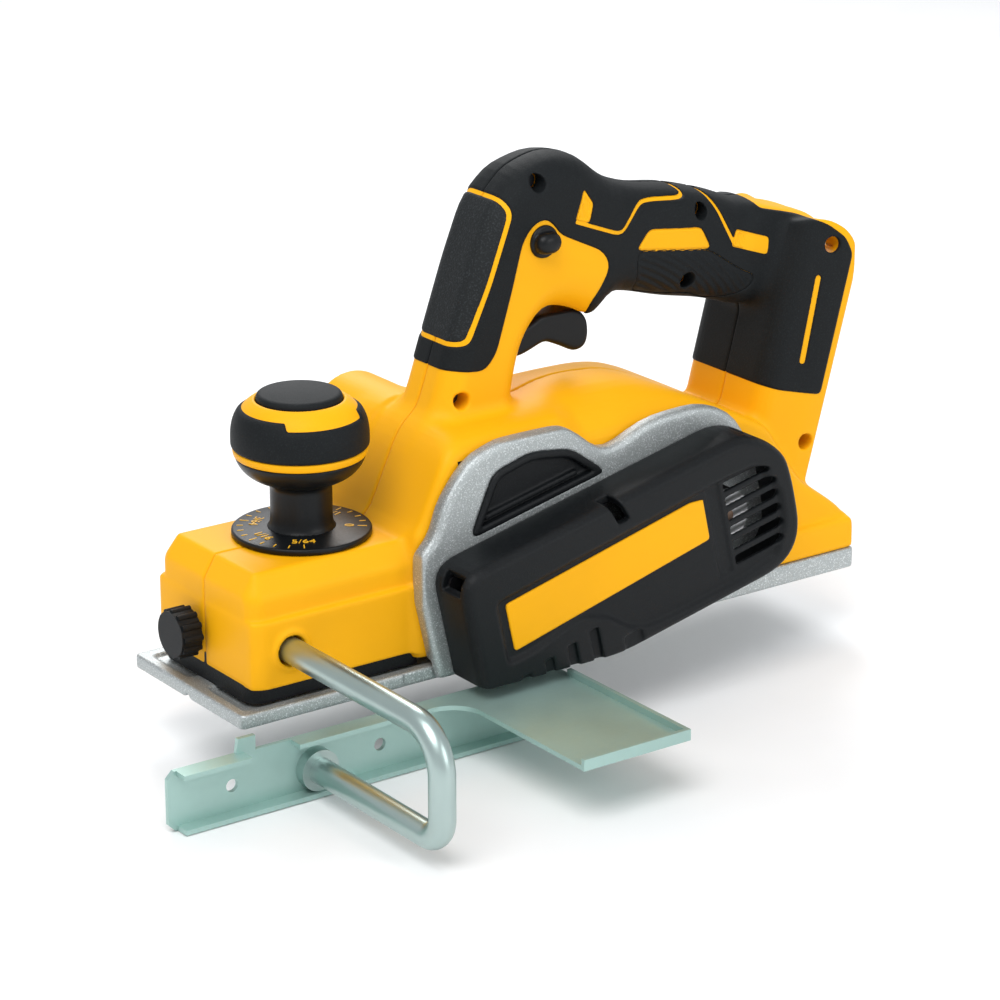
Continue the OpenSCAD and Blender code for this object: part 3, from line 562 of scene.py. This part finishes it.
def pad_field(x, y, z):
    """Textured pad on the front of the leg."""
    d = handle(x, y, z) + 0.1
    d = smax(d, outline(PAD_OUTLINE, x, z) + 0.7, 1.6)
    return np.maximum(d, -(d + 2.4))


def inlay_field(x, y, z):
    """Yellow inlays of the grip, with a sunk middle and small bars in it."""
    o = outline(PANEL, x, z)
    small = np.minimum(*[outline(p, x, z) for p in INLAYS])
    bars = 0.35 * np.cos(math.tau * (x + 0.3 * z) / 3.2)
    d = handle(x, y, z) + 0.1
    d = np.maximum(smax(d, np.minimum(o, small) + 0.12, 0.6), -(d + 2))
    d = smax(d, -np.maximum(small + 1.3, -(handle(x, y, z) + 0.55 + bars)), 0.3)
    return smax(d, -pockets(x, y, z), 0.5)


def palm_field(x, y, z):
    """Palm pads on the sides of the grip, with curved ribs."""
    ribs = 0.3 * np.cos(math.tau * np.hypot(x - 20, z - 60) / 3.0)
    d = handle(x, y, z) + 0.2 + ribs * ease(-0.8, -2.5, outline(PALM, x, z))
    d = smax(d, outline(PALM, x, z) - 0.1, 0.8)
    return smax(np.maximum(d, -(handle(x, y, z) + 3)), -pockets(x, y, z), 0.6)


for side, word in ((-1, "left"), (1, "right")):
    lo_y, hi_y = (-48, 0.5) if side < 0 else (-0.5, 61)
    solid("shell_" + word, half_of(shell_field, side), (-150, lo_y, 8), (162, hi_y, 206), 0.9,
          "planer_body", YELLOW, ["housing_" + word])
    lo_y, hi_y = (-34, 0.5) if side < 0 else (-0.5, 34)
    solid("skin_" + word, half_of(skin_field, side), (-58, lo_y, 78), (170, hi_y, 206), 0.6,
          "planer_body", RUBBER, ["grip_" + word])
solid("leg_grip_pad", pad_field, (-58, -19, 126), (0, 19, 200), 0.6, "planer_body", PAD,
      ["leg_pad"])
solid("grip_inlay_plates", inlay_field, (22, -19, 142), (128, 19, 190), 0.55, "planer_body",
      YELLOW, ["grip_inlays"])
solid("palm_grip_pads", palm_field, (50, -19, 122), (122, 19, 160), 0.55, "planer_body",
      RUBBER, ["palm_pads"])

# ---------- casting and shoes ----------

FLANGE = rounded([(-47, -40), (-47, 37), (-34, 44), (-28, 56), (-10, 70), (20, 71), (38, 64), (54, 44),
                  (80, 48.5), (108, 43.5), (122, 33), (130, 8), (130, -36)], 9)
PORT = rounded([(-19, 37), (-2, 60), (18, 61), (37, 54), (52, 37)], 5)
COVER = rounded([(-40, -34), (-40, 34), (112, 34.5), (129, 19), (131.5, 6), (131.5, -22), (119, -34)],
                12, 6)
FACE = rounded([(-27, -12.5), (-26.5, 18.5), (94, 21), (114, 20), (124, 3), (123.5, -14), (115.5, -27),
                (96, -29.5), (44, -29), (35.5, -25), (25, -14.5), (14, -8.5), (4, -9.5), (-10, -12)], 4, 5)
BADGE = rounded([(-21.3, -7.6), (-21.3, 14.4), (83.3, 17), (83.3, -3.5)], 1.6)


def casting_field(x, y, z):
    """Rear shoe with the side walls and the hood round the cutter."""
    u, v = drive(x, z)
    plate = smax(outline(FLANGE, u, v), np.maximum(-45.5 - y, y + 37.5), 3)
    plate = smax(plate, -smax(outline(PORT, u, v) + 0.6, np.maximum(y + 41.2, -60 - y), 0.5), 0.5)
    plate = smax(plate, 1.2 - z + 7.4 * ease(-42.4, -41.6, y), 0.8)
    d = box_field(x, y, z, (-22, -SOLE_SIDE, 0), (SOLE_REAR, SOLE_SIDE, 9.2), 1.2)
    d = smax(d, (x + np.abs(y) - CORNER) * DIAGONAL, 1.0)
    d = smin(d, plate, 2.5)
    right_wall = box_field(x, y, z, (-57, 38.2, 1), (34, 44.5, 44), 3)
    d = smin(d, right_wall, 1)
    hood = rod_y(x, y, z, DRUM, HOOD_R, -SOLE_SIDE, SOLE_SIDE)
    hood = smax(hood, np.maximum(x - 18, 4 - z), 0.5)
    d = np.minimum(d, hood)
    d = np.maximum(d, -rod_y(x, y, z, DRUM, DRUM_ROOM_R, -41.6, 41.6))
    throat = box_field(x, y, z, (-62, -41.9, -9), (-24, 41.9, 12))
    foot_slot = box_field(x, y, z, (94, 21, -2), (144, 33.5, 20))
    return np.maximum(np.maximum(d, -throat), -foot_slot)


def front_shoe_field(x, y, z):
    """Front shoe: raised rim, room for the cutter and the flange, nut hole and V-groove."""
    d = box_field(x, y, z, (SOLE_FRONT, -SOLE_SIDE, 0), (-34, SOLE_SIDE, 6), 1.2)
    d = smax(d, (-x + np.abs(y) - CORNER) * DIAGONAL, 1.0)
    pocket = box_field(x, np.abs(y), z, (-155, 6.5, 4.2), (-48, 36.5, 12), 3)
    d = smax(d, -pocket, 1.0)
    d = np.maximum(d, -rod_y(x, y, z, DRUM, SHOE_ROOM_R, -60, 60))
    left_notch = box_field(x, -y, z, (-82, 41.6, -1), (-30, 60, 20))
    right_notch = box_field(x, y, z, (-62, 41.6, -1), (-30, 60, 20))
    d = np.maximum(np.maximum(d, -left_notch), -right_notch)
    nut_hole = np.maximum(np.hypot(x - KNOB_X, y) - 7, 4.2 - z)
    d = np.maximum(d, -nut_hole)
    groove = (2.7 - np.abs(y) - 1.1 * z) * 0.67
    return smax(d, groove, 0.4)


def cover_field(x, y, z):
    """Belt cover: wall, outer bevel, sunk panel, vents, notches, screw holes and ribs."""
    u, v = drive(x, z)
    o = outline(COVER, u, v)
    d = smax(o, (o + 0.8 * (-65 - y)) * 0.78, 1.5)
    d = smax(d, np.maximum(COVER_Y - y, y - FLANGE_Y), 1.2)
    d = smax(d, 1.6 - z, 1.5)
    panel = smax(outline(FACE, u, v), 9 - z, 3)
    d = smax(d, -smax(panel + 1.1 * (y + 68), y + 66.0, 0.6), 0.7)
    channel = box_field(u, y, v, (85.5, -70, -24), (92.5, -65.2, 19.5), 1)
    d = smax(d, -channel, 0.6)
    for vent in range(6):
        low = -21.6 + 7.0 * vent
        slot = box_field(u, y, v, (95, -75, low), (126, -54, low + 4.2), 1.0)
        d = smax(d, -smax(slot, o + 9, 3), 0.6)
    notch = box_field(u + 0.35 * (v - 27), y, v, (38, -72, 24), (44, -58, 40), 1.5)
    d = smax(d, -notch, 0.6)
    for at in ((-38, 29), (118, 30)):
        screw_hole = smax(np.hypot(u - at[0], v - at[1]) - 4.4, np.maximum(-63 - y, y + 50.5), 1)
        d = smax(d, -screw_hole, 0.8)
    for at in (-21, -9, 3, 15):
        gap = box_field(u, y, v, (at, -75, -45), (at + 4.5, -66, 0.12 * at - 17), 1.0)
        d = smax(d, -gap, 0.8)
    wide_gap = box_field(u, y, v, (31, -75, -45), (41, -66.4, -25.5), 2.0)
    d = smax(d, -wide_gap, 0.8)
    hollow = smax(o + 4, np.maximum(-64.0 - y, 5 - z), 1.5)
    return np.maximum(d, -hollow)


def badge_field(x, y, z):
    """Plain plate on the belt cover."""
    u, v = drive(x, z)
    o = outline(BADGE, u, v)
    return smax(o, np.maximum(-66.7 - y, y + 65.3), 0.5)


def port_field(x, y, z):
    """Closed chip port above the belt cover: raised rim, sunk floor and one rib."""
    u, v = drive(x, z)
    o = outline(PORT, u, v)
    d = smax(o, np.maximum(-47 - y, y + 42), 1.2)
    d = smax(d, -smax(o + 3.2, y + 43.6, 1.5), 1.0)
    ends = np.maximum(np.maximum(-10 - u, u - 38), np.maximum(-45.6 - y, y + 42))
    rib = smax(np.abs(v - 42.5) - 1.3, ends, 1)
    return np.maximum(smin(d, rib, 0.8), 34.3 - v)


solid("casting", casting_field, (-74, -46, 0), (161, 45, 96), 0.85, "planer_body",
      CAST, ["base_frame"])
solid("front_shoe_plate", front_shoe_field, (-160, -42, 0), (-33, 42, 7), 0.7, "front_shoe",
      CAST, ["front_shoe"])
solid("belt_guard", cover_field, (-72, -68.5, 0), (112, -45, 92), 0.65, "planer_body",
      BLACK, ["belt_cover"])
solid("badge_plate", badge_field, (-55, -68, 0), (70, -65, 60), 0.5, "planer_body",
      YELLOW, ["cover_badge"])
solid("port_plug", port_field, (-62, -48, 40), (40, -41, 100), 0.6, "planer_body",
      BLACK, ["chip_port_cover"])

# ---------- controls ----------

TRIGGER = rounded([(-13, 117.5), (-13, 125), (-4, 126), (9, 131), (12, 133), (32, 133), (37, 128),
                   (38, 121), (36.5, 115.5), (31, 113.8), (24, 117.5), (15, 121.5), (7, 118.5),
                   (2, 117)], 3)


def trigger_field(x, y, z):
    """Trigger lever, hooked at its free end."""
    d = outline(TRIGGER, x, z)
    return smax(d, np.abs(y) - 7 - 0.02 * (z - 130), 2.5)


def button_field(x, y, z):
    """Lock-off button through the leg: oval, with crowned ends and a round guide."""
    u, v = x - BUTTON[0], z - BUTTON[1]
    d = smax(np.abs(u) - 6, np.abs(v) - 4.4, 5)
    d = smax(d, np.abs(y) - 24 + 0.03 * (u ** 2 + v ** 2), 3)
    ring = smax(np.hypot(u, v) - 7, np.abs(y) - 18.2, 1)
    return smin(d, ring, 1)


solid("trigger_lever", trigger_field, (-14, -8, 112), (39, 8, 135), 0.5, "trigger",
      SMOOTH, ["trigger"])
solid("lock_off_slider", button_field, (-2, -25, 160), (14, 25, 177), 0.5, "lock_button",
      SMOOTH, ["lock_off_button"])

# ---------- depth knob ----------


def arc(cr, cz, r, a0, a1, steps=10):
    """Points on an arc of a profile, from one angle to another in degrees."""
    angles = np.radians(np.linspace(a0, a1, steps))
    return [(cr + r * math.cos(a), cz + r * math.sin(a)) for a in angles]


BALL_R, BALL_Z = 27.9, 100.5          # radius and height of the knob's widest place
BALL_TOP, BALL_BOTTOM = 20.6, 19.5    # half heights above and below it


def knob_body(x, y, z):
    """Distance from the knob's axis, angle round it, and field of the whole ball."""
    r = np.hypot(x - KNOB_X, y)
    high = ((r / BALL_R) ** 2.6 + (np.abs(z - BALL_Z) / BALL_TOP) ** 2.6) ** (1 / 2.6) - 1
    low = ((r / BALL_R) ** 2.6 + (np.abs(z - BALL_Z) / BALL_BOTTOM) ** 2.6) ** (1 / 2.6) - 1
    return r, np.arctan2(y, x - KNOB_X), np.where(z > BALL_Z, high, low) * 20


def knob_low_field(x, y, z):
    """Lower bowl of the knob and its stem."""
    r, _, d = knob_body(x, y, z)
    d = smax(d + 0.3, z - 94.0, 0.8)
    stem = smax(r - 12.75 - 2.0 * np.exp(-(z - 62.4) / 1.3), np.maximum(62.4 - z, z - 90), 0.5)
    return smin(d, stem, 3)


def knob_grip_field(x, y, z):
    """Rubber band round the knob, whose top edge steps down to show the yellow tab."""
    r, a, d = knob_body(x, y, z)
    tab = ease(0.78, 0.72, np.abs(((a + 1.61 + math.pi) % math.tau) - math.pi))
    top = 114.6 - 0.16 * (r - 20) - 2.6 * tab
    d = smax(d - 0.25, np.maximum(z - top, 97.3 - z), 1.6)
    return np.maximum(d, 17 - r)


def knob_ring_field(x, y, z):
    """Narrow yellow ring under the band and the wide one above it."""
    r, _, d = knob_body(x, y, z)
    low = smax(d + 0.1, np.maximum(z - 97.4, 93.9 - z), 0.6)
    high = smax(d + 0.35, np.maximum(105 - z, -5), 0.6)
    high = smax(high, 17.9 - r, 1.2)
    return np.minimum(np.maximum(low, 18 - r), high)


def knob_cap_field(x, y, z):
    """Crowned cap of the knob."""
    r, _, d = knob_body(x, y, z)
    top = z - 120.9 + 0.0045 * r * r
    return smax(smax(top, r - 17.6, 2.0), 112 - z, 0.5)


def knob_solid(name, field, reach, low, high, step, material, replaces):
    """Piece of the knob, sampled in a square of the given reach round its axis."""
    solid(name, field, (KNOB_X - reach, -reach, low), (KNOB_X + reach, reach, high), step,
          "depth_knob", material, [replaces])


knob_solid("knob_stem_and_bowl", knob_low_field, 28.5, 62, 95, 0.6, SMOOTH, "knob_core")
knob_solid("knob_rubber", knob_grip_field, 28.5, 95, 121.5, 0.6, RUBBER, "knob_grip")
knob_solid("knob_yellow_rings", knob_ring_field, 28.5, 92, 121.5, 0.6, YELLOW, "knob_rings")
knob_solid("knob_top_cap", knob_cap_field, 19, 111, 122, 0.5, RUBBER, "knob_cap")
lathe("dial_disc", [(0, 59.7), (28.2, 59.7), (28.8, 60.1), *arc(27.9, 61.4, 0.9, 0, 90, 5), (22, 62.5),
                    (15.2, 62.8), (0, 62.8)], "depth_knob", SMOOTH, ["depth_dial"])


DIAL_START = math.radians(-120.5)    # where the deepest mark stands
MARK_STEP = math.radians(55)         # between two numbers, with four ticks in each


def dial_ticks():
    """Ticks round the dial, longer at the numbers."""
    bm = bmesh.new()
    for i in range(21):
        a = DIAL_START - MARK_STEP / 4 * i
        inner = 22.8 if i % 4 == 0 else 24.0
        out = Vector((math.cos(a), math.sin(a), 0))
        side = Vector((-out.y, out.x, 0)) * 0.22
        base = Vector((KNOB_X, 0, 62.3))
        corners = [base + out * inner - side, base + out * 26.6 - side, base + out * 26.6 + side,
                   base + out * inner + side]
        low = [bm.verts.new(c * MM) for c in corners]
        high = [bm.verts.new((c + Vector((0, 0, 0.28))) * MM) for c in corners]
        bm.faces.new(low[::-1])
        bm.faces.new(high)
        for j in range(4):
            k = (j + 1) % 4
            bm.faces.new([low[j], low[k], high[k], high[j]])
    mesh = bpy.data.meshes.new("dial_ticks")
    bm.to_mesh(mesh)
    bm.free()
    piece("dial_ticks", mesh, "depth_knob", MARK)


def dial_numbers():
    """Generic fractions of an inch round the dial, each with its foot outwards."""
    for i, word in enumerate(("5/64", "1/16", "3/64", "1/32", "1/64", "0")):
        data = bpy.data.curves.new("dial_number", "FONT")
        data.body = word
        data.size = 5.6 * MM
        data.extrude = 0.12 * MM
        data.align_x, data.align_y = "CENTER", "CENTER"
        a = DIAL_START - MARK_STEP * i
        spot = Vector((KNOB_X + 19.6 * math.cos(a), 19.6 * math.sin(a), 62.72)) * MM
        holder = bpy.data.objects.new("number_" + str(i), data)
        bpy.context.scene.collection.objects.link(holder)
        holder.matrix_world = Matrix.Translation(spot) @ Matrix.Rotation(a + math.pi / 2, 4, "Z")
        bpy.context.view_layer.update()
        shown = holder.evaluated_get(bpy.context.evaluated_depsgraph_get())
        mesh = bpy.data.meshes.new_from_object(shown)
        mesh.transform(holder.matrix_world)
        bpy.data.objects.remove(holder)
        mesh.materials.clear()
        piece("dial_number_" + str(i), mesh, "depth_knob", MARK)


dial_ticks()
dial_numbers()

# ---------- camera, floor and light ----------

def camera():
    """Long lens at the front left, above the planer."""
    data = bpy.data.cameras.new("camera")
    data.lens = 129.0
    data.sensor_width = 36.0
    obj = bpy.data.objects.new("camera", data)
    bpy.context.scene.collection.objects.link(obj)
    azimuth, height = math.radians(-35.743), math.radians(19.433)
    back = Vector((math.sin(azimuth) * math.cos(height), -math.cos(azimuth) * math.cos(height),
                   math.sin(height)))
    obj.location = (-0.8407, -1.1627, 0.5584)
    obj.rotation_euler = back.to_track_quat("Z", "Y").to_euler()
    bpy.context.scene.camera = obj


def floor():
    """White floor just under the lowest piece."""
    bm = bmesh.new()
    bmesh.ops.create_grid(bm, x_segments=1, y_segments=1, size=6)
    mesh = bpy.data.meshes.new("floor")
    bm.to_mesh(mesh)
    bm.free()
    obj = bpy.data.objects.new("floor", mesh)
    bpy.context.scene.collection.objects.link(obj)
    obj.location.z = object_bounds()[0][2] - 0.0005
    mesh.materials.append(material("floor_white", (0.9, 0.9, 0.9), 0.6, spread=0.01))
    obj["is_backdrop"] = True


def lamp(name, at, size, power, to=(0, 0, 0.08)):
    """Round area lamp that points at the planer."""
    data = bpy.data.lights.new(name, "AREA")
    data.shape = "DISK"
    data.size = size
    data.energy = power
    obj = bpy.data.objects.new(name, data)
    bpy.context.scene.collection.objects.link(obj)
    obj.location = at
    obj.rotation_euler = (Vector(at) - Vector(to)).to_track_quat("Z", "Y").to_euler()


def light():
    """Bright even studio with three soft lamps."""
    world = bpy.data.worlds.new("studio")
    world.use_nodes = True
    world.node_tree.nodes["Background"].inputs["Color"].default_value = (0.95, 0.97, 1, 1)
    world.node_tree.nodes["Background"].inputs["Strength"].default_value = 0.68
    bpy.context.scene.world = world
    lamp("key", (-0.7, -0.5, 1.4), 1.2, 15)
    lamp("fill", (0.5, -1.5, 0.7), 0.9, 6)
    lamp("rim", (0.6, 1.1, 1.1), 0.8, 12)


camera()
floor()
light()
bpy.context.scene.view_settings.view_transform = "Standard"
